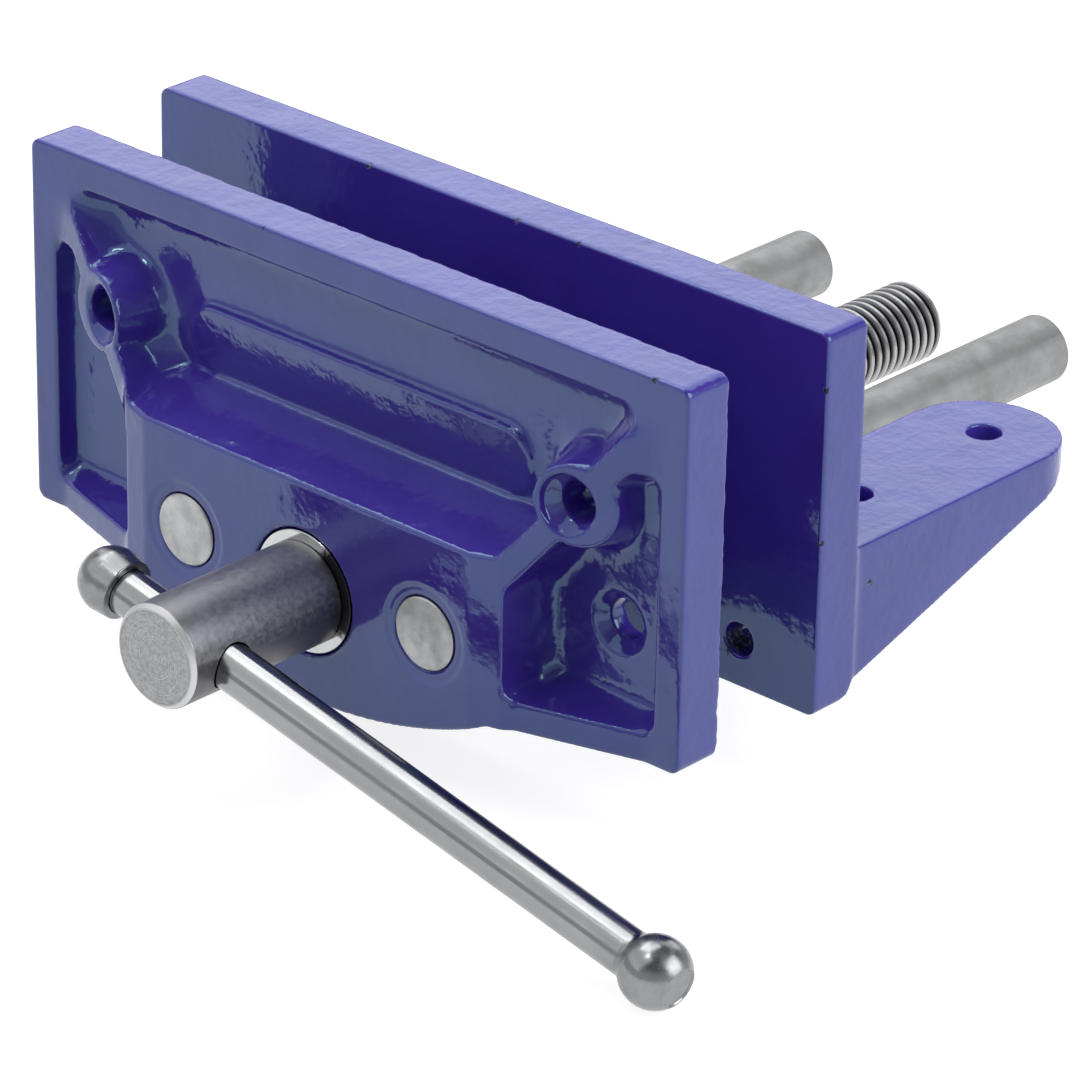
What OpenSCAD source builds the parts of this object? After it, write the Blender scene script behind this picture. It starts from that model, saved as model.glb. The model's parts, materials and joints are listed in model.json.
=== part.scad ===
// Woodworking vise for the underside of a bench: a fixed rear jaw with two bench brackets,
// and a front jaw that slides on two guide bars and is drawn in by one screw.
// X runs along the jaws, Y to the back, Z up. The origin is the middle of the four bench
// bolt holes, on the top face of the brackets.

/* [Jaws] */
// Width of the front jaw
jaw_w = 175; // [172:0.5:200]
// Width of the rear jaw
rear_jaw_w = 178.4; // [172:0.1:200]
// Height of the front jaw at its ends
jaw_h = 79.2; // [77:0.2:88]
// How much lower than the front jaw the rear jaw reaches at its ends
rear_jaw_drop = 0.9; // [0:0.1:2]
// Thickness of each jaw at its rim
jaw_t = 11.6; // [10.6:0.2:15]
// Gap between the jaws in the pose shown
jaw_gap = 25.9; // [10:0.1:40]
// Corner radius of the jaws, seen from the front
corner_r = 2; // [1:0.5:5]
// Depth of the belly below the front jaw's bottom edge
belly_d = 10.6; // [8:0.2:12]
// Width of the belly
belly_w = 96; // [90:1:110]

/* [Front jaw] */
// Depth of the recesses behind the rim
recess_d = 5; // [3:0.2:5.4]
// Rim along the top edge
rim_top = 6.9; // [5:0.1:9]
// Rim along each end
rim_side = 6.4; // [5.4:0.1:8]
// Rim along the bottom edge
rim_bottom = 6.2; // [5:0.1:9]
// How far the boss stands in front of the rim
boss_proud = 11.4; // [10:0.2:14]
// Width of the boss
boss_w = 102; // [98:1:106]
// Width of the flat on the boss's face
boss_flat_w = 88; // [84:1:92]
// Drop of the boss's top edge below the jaw's top
boss_drop = 43.5; // [42:0.1:45]
// Rise of the sloping ledge from the boss's front edge to the recess's floor
ledge_rise = 5.2; // [4.8:0.1:5.6]
// Flat strip at the ledge's front edge
ledge_set = 0.6; // [0.4:0.1:1.5]
// Rise of the ramps in front of the rim where they meet the boss
ramp_rise = 8; // [6:0.2:8.8]
// Distance from the jaw's end to the foot of each ramp
ramp_margin = 8; // [7:0.1:10]
// Width of the main recess along its top, before its corners are rounded
recess_top_w = 156; // [150:1:157]
// Width of the two slanting ribs
rib_w = 5.5; // [4:0.1:7]
// Drop of the side pockets' upper end below the jaw's top
pocket_drop = 20; // [18:0.5:22]
// Corner radius of the recess and the pockets
pocket_r = 3; // [2:0.2:3.6]
// Height of the plain raised panel in the recess
panel_h = 14.5; // [10:0.5:16]
// Length of the plain raised panel
panel_w = 92; // [60:1:94]
// How far the panel's lower edge stands on the recess's floor
panel_rise = 0.4; // [0.2:0.1:1]
// Lean of the panel's face, upper edge forward, in degrees
panel_lean = 7; // [2:1:9]

/* [Cheek screw holes] */
// Hole diameter
cheek_hole_d = 8.2; // [6:0.1:9]
// Diameter of the countersinks
cheek_sink_d = 12.8; // [11:0.1:14]
// Distance between the two upper holes of the front jaw
cheek_upper_gap = 127; // [124:0.2:129]
// Drop of the upper holes below the jaw's top
cheek_upper_drop = 29.3; // [28:0.1:31]
// Diameter of the round bosses of the upper holes, on their face
cheek_boss_d = 14.4; // [13.6:0.2:17]
// Distance from the middle to the single lower hole, in the right-hand pocket
cheek_lower_x = 67.7; // [66:0.1:70]
// Drop of the lower hole below the jaw's top
cheek_lower_drop = 55.6; // [53:0.2:58]
// Diameter of the rear jaw's holes
rear_cheek_hole_d = 6.8; // [5:0.1:9]
// Distance between the rear jaw's holes
rear_cheek_gap = 139.6; // [136:0.2:142]
// Rise of the rear jaw's holes above its bottom edge
rear_cheek_rise = 10.1; // [8:0.1:14]

/* [Guide bars] */
// Bar diameter
bar_d = 15; // [12:0.5:16]
// Distance between the two bars
bar_gap = 65; // [62:0.5:67]
// Drop of the bars below the jaws' top
bar_drop = 64.5; // [63.5:0.1:66]
// Bar length
bar_len = 190; // [160:1:230]
// Diameter of the spring pins that lock the bars in the front jaw
bar_pin_d = 4; // [3:0.5:5]

/* [Main screw] */
// Thread diameter
thread_d = 17.8; // [15:0.1:18]
// Thread pitch, right hand, one start
thread_pitch = 2.5; // [2.4:0.1:4]
// Depth of the thread
thread_depth = 1.3; // [1:0.05:1.4]
// Length of the thread behind the front jaw's clamping face
thread_len = 164; // [140:1:200]
// Journal diameter
journal_d = 18.2; // [18.1:0.1:19]
// Drop of the screw's axis below the jaws' top
screw_drop = 66.8; // [66:0.1:68]
// Head diameter
head_d = 21.4; // [20:0.1:24]
// Head length
head_len = 39.8; // [30:0.2:45]
// Chamfer of the head's front edge
head_chamfer = 0.9; // [0.4:0.1:2]
// Distance from the head's front face to the handle's axis
handle_setback = 10.6; // [9:0.1:14]
// Diameter of the washers on the journal
washer_d = 25.6; // [24:0.2:28.6]
// Washer thickness
washer_t = 2.2; // [1.6:0.1:2.6]
// Depth of the spot face under the front washer
spot_d = 2.4; // [1.8:0.1:3]
// Thickness of the spring ring
ring_t = 1.5; // [1.2:0.1:1.8]
// Depth of the spring ring's groove
groove_d = 1; // [0.6:0.1:1.2]

/* [Handle] */
// Handle bar diameter
handle_d = 9.5; // [8:0.1:10.5]
// Distance between the centres of the two balls
handle_len = 144.3; // [110:0.1:180]
// Distance from the screw's axis to the pressed ball's centre
handle_near = 23.2; // [21:0.1:50]
// Slope of the handle in the pose shown, downwards to the right, in degrees
handle_slope = 12; // [0:1:60]
// Diameter of the forged ball
ball_d = 14.2; // [12.6:0.1:18]
// Diameter of the pressed ball
knob_d = 13.6; // [12.6:0.1:18]

/* [Nut] */
// Diameter of the nut's body
nut_d = 28; // [26:0.5:28]
// Thickness of the nut's ears
nut_ear_t = 5; // [4:0.5:8]
// Diameter of the nut screws
nut_screw_d = 4; // [3:0.5:4]
// Length of the nut screws
nut_screw_len = 16; // [14:1:18]
// Wall between the nut and the rear jaw's clamping face
nut_wall = 4; // [3:0.5:5]

/* [Bench brackets] */
// Drop of the brackets' top face below the jaws' top
bench_drop = 48; // [44:0.5:48.5]
// Thickness of the bracket's flange
flange_t = 7.2; // [6:0.2:10]
// Width of each bracket
flange_w = 32.5; // [28:0.5:33]
// Step from the rear jaw's end in to the side of each bracket
bracket_inset = 0.45; // [0.2:0.05:1]
// Reach of each bracket behind the rear jaw
flange_len = 74; // [70:0.5:90]
// Thickness of the triangular web below the flange
web_t = 8; // [6:0.5:10]
// Foot of the triangular web, below the jaws' top
web_foot = 76.5; // [70:0.5:77]
// Height of the triangular web at its tip
web_tip = 8.5; // [8:0.1:12]
// Depth of the hub behind the rear jaw
hub_d = 14; // [12:0.5:20]
// Bench bolt hole diameter
bolt_hole_d = 7; // [5:0.2:9]
// Distance between the bolt holes along Y
bolt_gap_y = 40; // [34:0.5:44]
// Distance from the rear jaw's back to the front bolt holes
bolt_setback = 18.8; // [16:0.2:22]
// Rounding of the rear jaw's lower back edge
heel_r = 5; // [2:0.5:6]

/* [Fits] */
// Radial clearance of a running fit
run_fit = 0.06; // [0.04:0.01:0.1]
// Radial clearance of a tight fit
tight_fit = 0.02; // [0.01:0.01:0.03]
// Radial clearance of a loose hole
loose_fit = 0.3; // [0.2:0.05:0.4]
// Clearance between the threads
thread_fit = 0.25; // [0.2:0.05:0.3]

/* [Hidden] */

$fn = 64;
blue = "#4b4f9e";
steel = "#a9abae";
dark_steel = "#6d7076";

// Overlap of two shapes that join, and overshoot of a cut past the face that it opens
eps = 0.01;
over = 1;

// Places along Y and Z in the part's frame
jaw_top = bench_drop;
rear_back_y = -bolt_setback - bolt_gap_y / 2;
rear_face_y = rear_back_y - jaw_t;
front_back_y = rear_face_y - jaw_gap;
rim_y = front_back_y - jaw_t;
boss_y = rim_y - boss_proud;
bar_z = jaw_top - bar_drop;
screw_z = jaw_top - screw_drop;
rear_jaw_h = jaw_h + rear_jaw_drop;
belly_r = (belly_w * belly_w / 4 + belly_d * belly_d) / (2 * belly_d);

// Hub of the rear jaw, and the bracket's web
hub_wall = 8;
hub_relief = 2.5;
hub_back_y = rear_back_y + hub_d;
hub_top_drop = bench_drop + hub_relief;
hub_w = bar_gap + bar_d + 2 * hub_wall;
screw_passage_gap = 1;
web_end_gap = 10.8;

// Screw stations along Y. The journal hides the first turn of the thread.
seat_y = boss_y + spot_d;
shoulder_y = seat_y - washer_t - run_fit;
head_front_y = shoulder_y - head_len;
handle_y = head_front_y + handle_setback;
journal_sink = 0.6;
journal_end_y = front_back_y - journal_sink;
thread_runout = 1.2 * thread_pitch;
thread_start_y = journal_end_y - thread_runout;
thread_end_y = front_back_y + thread_len;

// Spring ring and its washer, in the counterbore of the clamping face
groove_side = 0.06;
groove_wall = 0.4;
ring_land = 2.5;
ring_gap = 3;
ring_lug_r = 2;
ring_lug_hole_r = 0.8;
ring_y = thread_start_y - groove_wall - ring_t;
counterbore_y = ring_y - 2 * run_fit - washer_t;

// Thread form, as shares of the pitch along the axis
thread_segs = 16;
crest_share = 0.3;
flank_share = 0.2;
thread_lead_in = 1.6;
thread_end_less = 0.4;
thread_turns = ceil((thread_end_y - thread_start_y) / thread_pitch) + 1;

// Nut: its screws sit midway between its body and the bars, and its ears stop short of the bars
nut_front_y = rear_face_y + nut_wall;
nut_back_y = hub_back_y + nut_ear_t;
nut_lip = 1.6;
nut_ear_gap = 0.8;
bar_inner_x = (bar_gap - bar_d) / 2;
nut_screw_x = (nut_d / 2 + bar_inner_x) / 2;
nut_ear_r = bar_inner_x - nut_screw_x - nut_ear_gap;
nut_screw_head = 1.6;
nut_hex_d = 2.9;
nut_hex_depth = 1.5;
tap_turns_before = 2;
tap_turns_past = 3;
tap_skip = floor((nut_front_y - thread_start_y) / thread_pitch) - tap_turns_before;
tap_turns = ceil((nut_back_y - nut_front_y) / thread_pitch) + tap_turns_before + tap_turns_past;
tap_flank_fit = 0.8 * thread_fit;

// Guide bars and their spring pins
bar_chamfer = 0.5;
bar_mouth = 0.3;
bar_pin_y = (rim_y + jaw_t + boss_y) / 2;
bar_pin_wall = 0.9;
bar_pin_slit = 0.6;
bar_pin_sink = 1;

// Handle stations along its own axis, from the screw's axis
cross_hole_r = handle_d / 2 + loose_fit;
forged_ball_t = handle_len - handle_near;
neck_len = 0.5;
neck_angle = 42;
ball_end_cut = 1.4;
knob_bore_d = 7.5;
knob_bore_past = 1;
knob_face_lip = 0.55;
knob_face_less = 0.5;
shoulder_chamfer = 0.4;
knob_face = sqrt(pow(knob_d / 2, 2) - pow(handle_d / 2 + knob_face_lip, 2));

// Boss, rib and recess outlines of the front jaw, as seen from the front
half_boss = boss_w / 2;
boss_blend = 2;
rib_foot_in = 2;
ramp_foot = jaw_w / 2 - ramp_margin;
ramp_top = half_boss + boss_blend;
pocket_side = jaw_w / 2 - rim_side;
rib_top = [recess_top_w / 2, -rim_top];
rib_low = [half_boss - rib_foot_in, -boss_drop];
rib_dir = (rib_top - rib_low) / norm(rib_top - rib_low);
rib_edge = rib_low + rib_w * [rib_dir.y, -rib_dir.x];

// How far each wall of the recess and of the pockets slopes in from its mouth to its floor
recess_low_inset = 4.6;
recess_rib_inset = 4.5;
recess_top_inset = 1.8;
pocket_low_inset = 2.6;
pocket_end_inset = 1.4;
pocket_top_inset = 1.8;
pocket_rib_inset = 2.4;
pocket_boss_inset = 2;

// Recess and pocket mouths, and their walls' insets, anticlockwise from the bottom wall
recess_points = [[-rib_low.x, rib_low.y], rib_low, rib_top, [-rib_top.x, rib_top.y]];
recess_insets = [recess_low_inset, recess_rib_inset, recess_top_inset, recess_rib_inset];
pocket_points = [[half_boss, -jaw_h + rim_bottom], [pocket_side, -jaw_h + rim_bottom],
                 [pocket_side, -pocket_drop], [on_rib_edge_z(-pocket_drop), -pocket_drop],
                 [half_boss, on_rib_edge_x(half_boss)]];
pocket_insets = [pocket_low_inset, pocket_end_inset, pocket_top_inset, pocket_rib_inset, pocket_boss_inset];
floor_step = 0.4;
floor_r_less = 0.6;
panel_margin = 1;
cheek_boss_flare = 3.6;
cheek_boss_draft = 0.28;

// Where the lower edge of a rib has a given height, or a given distance from the middle
function on_rib_edge_z(z) = rib_edge.x + (z - rib_edge.y) * rib_dir.x / rib_dir.y;
function on_rib_edge_x(x) = rib_edge.y + (x - rib_edge.x) * rib_dir.y / rib_dir.x;

// Height of the belly's arc above its lowest point
function belly_rise(x) = belly_r - sqrt(belly_r * belly_r - x * x);

// Inward normal of the edge that leaves corner i of a polygon drawn anticlockwise
function corner(p, i) = p[(i + len(p)) % len(p)];
function inward(p, i) = let(d = corner(p, i + 1) - corner(p, i), u = d / norm(d)) [-u.y, u.x];
// Corner i moved in by its own distance from each of its two edges
function moved_in(p, i, before, after) =
    let(a = inward(p, i - 1), b = inward(p, i), c = a * b, s = 1 - c * c)
    corner(p, i) + (before * (a - c * b) + after * (b - c * a)) / s;
function inset(p, d) = [for (i = [0:len(p) - 1]) moved_in(p, i, corner(d, i - 1), corner(d, i))];

function round_centres(p, r) = [for (i = [0:len(p) - 1]) moved_in(p, i, r, r)];

// The round corners of a convex outline
module corners(p, r) {
    for (c = round_centres(p, r)) translate(c) circle(r);
}

// Convex outline with true round corners
module rounded(p, r) {
    c = round_centres(p, r);
    polygon([for (i = [0:len(p) - 1]) each [c[i] - r * inward(p, i - 1), c[i] - r * inward(p, i)]]);
    corners(p, r);
}

// An outline in X and Z, drawn out along Y from y0 to y1
module slab(y0, y1) {
    translate([0, y1, 0]) rotate([90, 0, 0]) linear_extrude(y1 - y0) children();
}

// A cylinder or cone along +Y
module rod(y0, y1, r0, r1 = undef) {
    translate([0, y0, 0]) rotate([-90, 0, 0])
        cylinder(h = y1 - y0, r1 = r0, r2 = is_undef(r1) ? r0 : r1);
}

// A ring along Y between two radii
module rod_ring(y0, y1, inner_r, outer_r) {
    difference() {
        rod(y0, y1, outer_r);
        rod(y0 - over, y1 + over, inner_r);
    }
}

module both_sides() {
    children();
    mirror([1, 0, 0]) children();
}

module on_screw_axis() {
    translate([0, 0, screw_z]) children();
}

// Outline of a jaw from the front, with the belly. Z is zero at the jaw's top.
module jaw_outline(w, h) {
    rounded([[-w / 2, -h], [w / 2, -h], [w / 2, 0], [-w / 2, 0]], corner_r);
    intersection() {
        translate([0, belly_r - jaw_h - belly_d]) circle(belly_r, $fn = 200);
        translate([-belly_w / 2, -jaw_h - belly_d]) square([belly_w, belly_d + over]);
    }
}

// Plan of everything that stands in front of the rim: boss in the middle, ramps at its sides
module proud_plan() {
    shoulder = (boss_proud + ramp_rise) / 2;
    right = [[boss_flat_w / 2, -boss_proud], [half_boss, -shoulder], [ramp_top, -ramp_rise], [ramp_foot, 0]];
    left = [for (i = [len(right) - 1:-1:0]) [-right[i].x, right[i].y]];
    polygon(concat(left, right, [[ramp_foot, recess_d], [-ramp_foot, recess_d]]));
}

module proud_block() {
    translate([0, 0, -jaw_h - belly_d]) linear_extrude(jaw_h + belly_d - rim_top) proud_plan();
}

// A pocket with a straight mouth and sloping walls down to its floor
module pocket(points, insets) {
    slab(-boss_proud - over, 0) rounded(points, pocket_r);
    hull() {
        slab(-over, 0) corners(points, pocket_r, $fn = 32);
        slab(recess_d - floor_step, recess_d)
            corners(inset(points, insets), pocket_r - floor_r_less, $fn = 32);
    }
}

// Round boss of an upper cheek hole, flared to the recess's floor
module cheek_boss() {
    face_r = cheek_boss_d / 2 + cheek_boss_draft;
    intersection() {
        translate([cheek_upper_gap / 2, 0, -cheek_upper_drop]) rotate([180, 0, 0])
            rod(-recess_d, ramp_rise, cheek_boss_d / 2 + cheek_boss_flare, face_r);
        proud_block();
    }
}

// A countersunk hole whose mouth is at y
module sunk_hole(y) {
    sink = (cheek_sink_d - cheek_hole_d) / 2;
    front = -boss_proud - over;
    rod(front, jaw_t + over, cheek_hole_d / 2);
    rod(y - eps, y + sink, cheek_sink_d / 2, cheek_hole_d / 2);
    rod(front, y, cheek_sink_d / 2);
}

// Castings: Z is zero at the jaw's top, and Y is zero at the rim or at the clamping face.
module front_jaw() {
    upper_hole_y = -ramp_rise * (ramp_foot - cheek_upper_gap / 2) / (ramp_foot - ramp_top);
    color(blue) translate([0, rim_y, jaw_top]) difference() {
        union() {
            difference() {
                union() {
                    slab(0, jaw_t) jaw_outline(jaw_w, jaw_h);
                    intersection() {
                        slab(-boss_proud, recess_d) jaw_outline(jaw_w, jaw_h);
                        proud_block();
                    }
                }
                difference() {
                    pocket(recess_points, recess_insets);
                    ledge();
                }
                both_sides() pocket(pocket_points, pocket_insets);
            }
            both_sides() cheek_boss();
            panel();
        }
        both_sides() {
            translate([cheek_upper_gap / 2, 0, -cheek_upper_drop]) sunk_hole(upper_hole_y);
            translate([bar_gap / 2, 0, -bar_drop]) bar_socket();
        }
        translate([cheek_lower_x, 0, -cheek_lower_drop]) sunk_hole(recess_d);
        translate([0, 0, -screw_drop]) screw_passage();
    }
}

// Sloping ledge on top of the boss, from its front edge up to the recess's floor
module ledge() {
    slope = ledge_rise / (recess_d + boss_proud - ledge_set);
    back = recess_d + over;
    translate([-jaw_w / 2, 0, -boss_drop]) rotate([90, 0, 90]) linear_extrude(jaw_w)
        polygon([[ledge_set - boss_proud - over / slope, -over], [back, -over],
                 [back, ledge_rise + slope * over]]);
}

// Plain panel with round ends on the recess's floor, leaning forward from its lower edge
module panel() {
    r = panel_h / 2;
    low = -boss_drop + recess_low_inset + panel_margin;
    translate([0, recess_d - panel_rise, low]) rotate([panel_lean, 0, 0])
        slab(0, panel_h * sin(panel_lean) + panel_rise + over) translate([0, r]) {
            square([panel_w - panel_h, panel_h], center = true);
            for (s = [-1, 1]) translate([s * (panel_w / 2 - r), 0]) circle(r);
        }
}

// Bore for a guide bar through the boss, with its cross hole for the spring pin
module bar_socket() {
    r = bar_d / 2 + tight_fit;
    rod(-boss_proud - over, jaw_t + over, r);
    rod(-boss_proud - eps, -boss_proud + bar_mouth, r + bar_mouth, r);
    translate([0, bar_pin_y - rim_y, -jaw_h]) cylinder(h = jaw_h, d = bar_pin_d + 2 * tight_fit);
}

module screw_passage() {
    pocket_r = washer_d / 2 + loose_fit;
    rod(-boss_proud - over, jaw_t + over, journal_d / 2 + run_fit);
    rod(-boss_proud - over, -boss_proud + spot_d, pocket_r);
    rod(counterbore_y - rim_y, jaw_t + over, pocket_r);
}

module rear_jaw() {
    hub_end = jaw_t + hub_d;
    color(blue) translate([0, rear_face_y, jaw_top]) difference() {
        union() {
            difference() {
                slab(0, jaw_t) jaw_outline(rear_jaw_w, rear_jaw_h);
                both_sides() heel_cut();
            }
            slab(jaw_t - eps, hub_end) hub_outline();
            both_sides() bracket();
        }
        both_sides() {
            translate([bar_gap / 2, 0, -bar_drop]) rod(-over, hub_end + over, bar_d / 2 + run_fit);
            translate([rear_cheek_gap / 2, 0, rear_cheek_rise - rear_jaw_h])
                rod(-over, jaw_t + over, rear_cheek_hole_d / 2);
            translate([nut_screw_x, 0, -screw_drop])
                rod(hub_end + nut_ear_t - nut_screw_len - over, hub_end + over, nut_screw_d / 2 + tight_fit);
        }
        translate([0, 0, -screw_drop]) {
            rod(-over, jaw_t + over, thread_d / 2 + screw_passage_gap);
            rod(nut_wall, hub_end + over, nut_d / 2 + tight_fit);
        }
    }
}

// Rounds the lower back edge of the rear jaw outside the belly
module heel_cut() {
    x0 = belly_w / 2;
    run = rear_jaw_w / 2 - x0 + over;
    translate([x0, jaw_t - heel_r, -rear_jaw_h]) difference() {
        translate([0, 0, -over]) cube([run, heel_r + over, heel_r + over]);
        translate([-over, 0, heel_r]) rotate([0, 90, 0]) cylinder(h = run + 2 * over, r = heel_r);
    }
}

module hub_outline() {
    intersection() {
        jaw_outline(rear_jaw_w, rear_jaw_h);
        translate([-hub_w / 2, -jaw_h - belly_d]) square([hub_w, jaw_h + belly_d - hub_top_drop]);
    }
}

// Right-hand bench bracket: flange with a round end, and a triangular web along its outer edge
module bracket() {
    end = jaw_t + flange_len;
    translate([0, 0, -bench_drop - flange_t]) linear_extrude(flange_t) bracket_plan(true);
    intersection() {
        translate([0, 0, -jaw_h]) linear_extrude(jaw_h - bench_drop) bracket_plan(false);
        translate([rear_jaw_w / 2 - bracket_inset - web_t, 0, 0]) rotate([90, 0, 90]) linear_extrude(web_t)
            polygon([[jaw_t - over, -bench_drop], [end, -bench_drop],
                     [end - web_end_gap, -bench_drop - web_tip],
                     [jaw_t, -web_foot], [jaw_t - over, -web_foot]]);
    }
}

module bracket_plan(drilled) {
    r = flange_w / 2;
    middle = rear_jaw_w / 2 - bracket_inset - r;
    difference() {
        union() {
            translate([middle - r, jaw_t - over]) square([flange_w, flange_len - r + over]);
            translate([middle, jaw_t + flange_len - r]) circle(r);
        }
        if (drilled) for (k = [0, 1])
            translate([middle, jaw_t + bolt_setback + k * bolt_gap_y]) circle(bolt_hole_d / 2);
    }
}

// One turn of thread has four edges: root, crest, crest, root. Edge j lies at a share of the
// pitch along the axis; wider moves the flanks apart.
edge_shares = [0, flank_share, flank_share + crest_share, 2 * flank_share + crest_share];
function edge_r(j, root_r, crest_r) = (j == 1 || j == 2) ? crest_r : root_r;
function edge_z(j, wider) = thread_pitch * edge_shares[j] + (j < 2 ? -wider : wider);

// A closed threaded rod along +Z, from z = 0, with whole turns. Its ends are fans about two
// points on the axis, inside its first and its last turn.
module threaded_rod(root_r, crest_r, turns, wider = 0) {
    segs = thread_segs;
    last = turns * segs;
    function at(i, j) = 4 * i + j;
    function strip(a, b, c, d) = [[a, b, c], [a, c, d]];
    low_hub = 4 * (last + 1);
    high_hub = low_hub + 1;
    hub_z = thread_pitch * (flank_share + crest_share);
    helix = [for (i = [0:last]) for (j = [0:3])
        let(r = edge_r(j, root_r, crest_r), a = 360 * i / segs)
        [r * cos(a), r * sin(a), thread_pitch * i / segs + edge_z(j, wider)]];
    hubs = [[0, 0, hub_z], [0, 0, thread_pitch * (turns - 1) + hub_z]];
    flanks = [for (i = [0:last - 1]) for (j = [0:2])
        each strip(at(i, j), at(i, j + 1), at(i + 1, j + 1), at(i + 1, j))];
    roots = [for (i = [0:last - segs - 1])
        each strip(at(i, 3), at(i + segs, 0), at(i + 1 + segs, 0), at(i + 1, 3))];
    low_fan = [for (i = [0:segs - 1]) [low_hub, at(i, 0), at(i + 1, 0)]];
    low_step = [for (p = [[at(0, 1), at(0, 0)], [at(0, 2), at(0, 1)], [at(0, 3), at(0, 2)],
                          [at(segs, 0), at(0, 3)]]) [low_hub, p[0], p[1]]];
    high_fan = [for (i = [last - segs:last - 1]) [high_hub, at(i + 1, 3), at(i, 3)]];
    high_step = [for (p = [[at(last - segs, 3), at(last, 0)], [at(last, 0), at(last, 1)],
                           [at(last, 1), at(last, 2)], [at(last, 2), at(last, 3)]])
        [high_hub, p[0], p[1]]];
    polyhedron(concat(helix, hubs), concat(flanks, roots, low_fan, low_step, high_fan, high_step));
}

module main_screw() {
    root_r = thread_d / 2 - thread_depth;
    end_r = root_r - thread_end_less;
    groove_end = ring_y + ring_t + groove_side;
    color(dark_steel) on_screw_axis() {
        difference() {
            union() {
                rod(head_front_y, head_front_y + head_chamfer, head_d / 2 - head_chamfer, head_d / 2);
                rod(head_front_y + head_chamfer, shoulder_y, head_d / 2);
                rod(shoulder_y - eps, journal_end_y, journal_d / 2);
            }
            rod_ring(ring_y - groove_side, groove_end, journal_d / 2 - groove_d, journal_d);
            handle_place() rotate([0, 90, 0]) cylinder(h = 2 * head_d, r = cross_hole_r, center = true);
        }
        intersection() {
            translate([0, thread_start_y, 0]) rotate([-90, 0, 0])
                threaded_rod(root_r, thread_d / 2, thread_turns);
            union() {
                rod(thread_start_y - thread_pitch, thread_end_y - thread_lead_in, thread_d);
                rod(thread_end_y - thread_lead_in - eps, thread_end_y, end_r + thread_lead_in, end_r);
            }
        }
    }
}

module thrust_washer() {
    color(steel) on_screw_axis()
        rod_ring(seat_y - washer_t, seat_y, journal_d / 2 + loose_fit, washer_d / 2);
}

module retaining_washer() {
    color(steel) on_screw_axis()
        rod_ring(counterbore_y, counterbore_y + washer_t, journal_d / 2 + loose_fit, washer_d / 2);
}

// Spring ring with a gap at its foot and a holed lug on each side of the gap
module retaining_ring() {
    ring_r = journal_d / 2 + ring_land;
    lug_x = ring_gap / 2 + ring_lug_r;
    lug_z = ring_lug_r - ring_r;
    color(dark_steel) on_screw_axis() slab(ring_y, ring_y + ring_t) difference() {
        union() {
            circle(ring_r);
            for (s = [-1, 1]) translate([s * lug_x, lug_z]) circle(ring_lug_r);
        }
        circle(journal_d / 2 - groove_d + 2 * tight_fit);
        translate([-ring_gap / 2, -2 * ring_r]) square([ring_gap, 2 * ring_r]);
        for (s = [-1, 1]) translate([s * lug_x, lug_z - ring_lug_hole_r / 2]) circle(ring_lug_hole_r);
    }
}

module main_nut() {
    body_r = nut_d / 2;
    root_r = thread_d / 2 - thread_depth;
    color(steel) on_screw_axis() difference() {
        union() {
            rod(nut_front_y, hub_back_y, body_r);
            slab(hub_back_y, nut_back_y) {
                circle(body_r + nut_lip);
                square([2 * nut_screw_x, 2 * nut_ear_r], center = true);
                for (s = [-1, 1]) translate([s * nut_screw_x, 0]) circle(nut_ear_r);
            }
        }
        translate([0, thread_start_y + tap_skip * thread_pitch, 0]) rotate([-90, 0, 0])
            threaded_rod(root_r + thread_fit, thread_d / 2 + thread_fit, tap_turns, tap_flank_fit);
        for (s = [-1, 1]) translate([s * nut_screw_x, 0, 0]) nut_screw_hole();
    }
}

module nut_screw_hole() {
    r = nut_screw_d / 2 + tight_fit;
    rod(hub_back_y - over, nut_back_y + over, r);
    rod(nut_back_y - nut_screw_head, nut_back_y + eps, r, r + nut_screw_head);
}

// Countersunk screws with a hexagon socket, heads level with the nut's ears
module nut_screws() {
    r = nut_screw_d / 2;
    neck_y = nut_back_y - nut_screw_head;
    color(dark_steel) on_screw_axis() for (s = [-1, 1]) translate([s * nut_screw_x, 0, 0])
        difference() {
            union() {
                rod(nut_back_y - nut_screw_len, neck_y, r);
                rod(neck_y - eps, nut_back_y - eps, r, r + nut_screw_head);
            }
            translate([0, nut_back_y - nut_hex_depth, 0]) rotate([-90, 0, 0])
                cylinder(h = nut_hex_depth + over, d = nut_hex_d, $fn = 6);
        }
}

module guide_bar(side) {
    r = bar_d / 2;
    rear = boss_y + bar_len;
    color(steel) translate([side * bar_gap / 2, 0, bar_z]) difference() {
        union() {
            rod(boss_y, boss_y + bar_chamfer, r - bar_chamfer, r);
            rod(boss_y + bar_chamfer - eps, rear - bar_chamfer, r);
            rod(rear - bar_chamfer - eps, rear, r, r - bar_chamfer);
        }
        translate([0, bar_pin_y, -bar_d]) cylinder(h = 2 * bar_d, d = bar_pin_d + 2 * tight_fit);
    }
}

module guide_bar_left() { guide_bar(-1); }

module guide_bar_right() { guide_bar(1); }

// Spring pins with a slit, driven up through the boss and the bar
module guide_bar_pins() {
    top = bar_z + bar_d / 2 - bar_pin_sink;
    bottom = jaw_top - jaw_h - belly_d + belly_rise(bar_gap / 2) + bar_pin_sink;
    h = top - bottom;
    color(dark_steel) for (s = [-1, 1]) translate([s * bar_gap / 2, bar_pin_y, bottom]) difference() {
        cylinder(h = h, d = bar_pin_d);
        translate([0, 0, -over]) cylinder(h = h + 2 * over, d = bar_pin_d - 2 * bar_pin_wall);
        translate([-bar_pin_slit / 2, -bar_pin_d, -over]) cube([bar_pin_slit, bar_pin_d, h + 2 * over]);
    }
}

// The handle's own frame: X along the bar, from the pressed ball to the forged one
module handle_place() {
    translate([0, handle_y, 0]) rotate([0, handle_slope, 0]) children();
}

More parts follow.
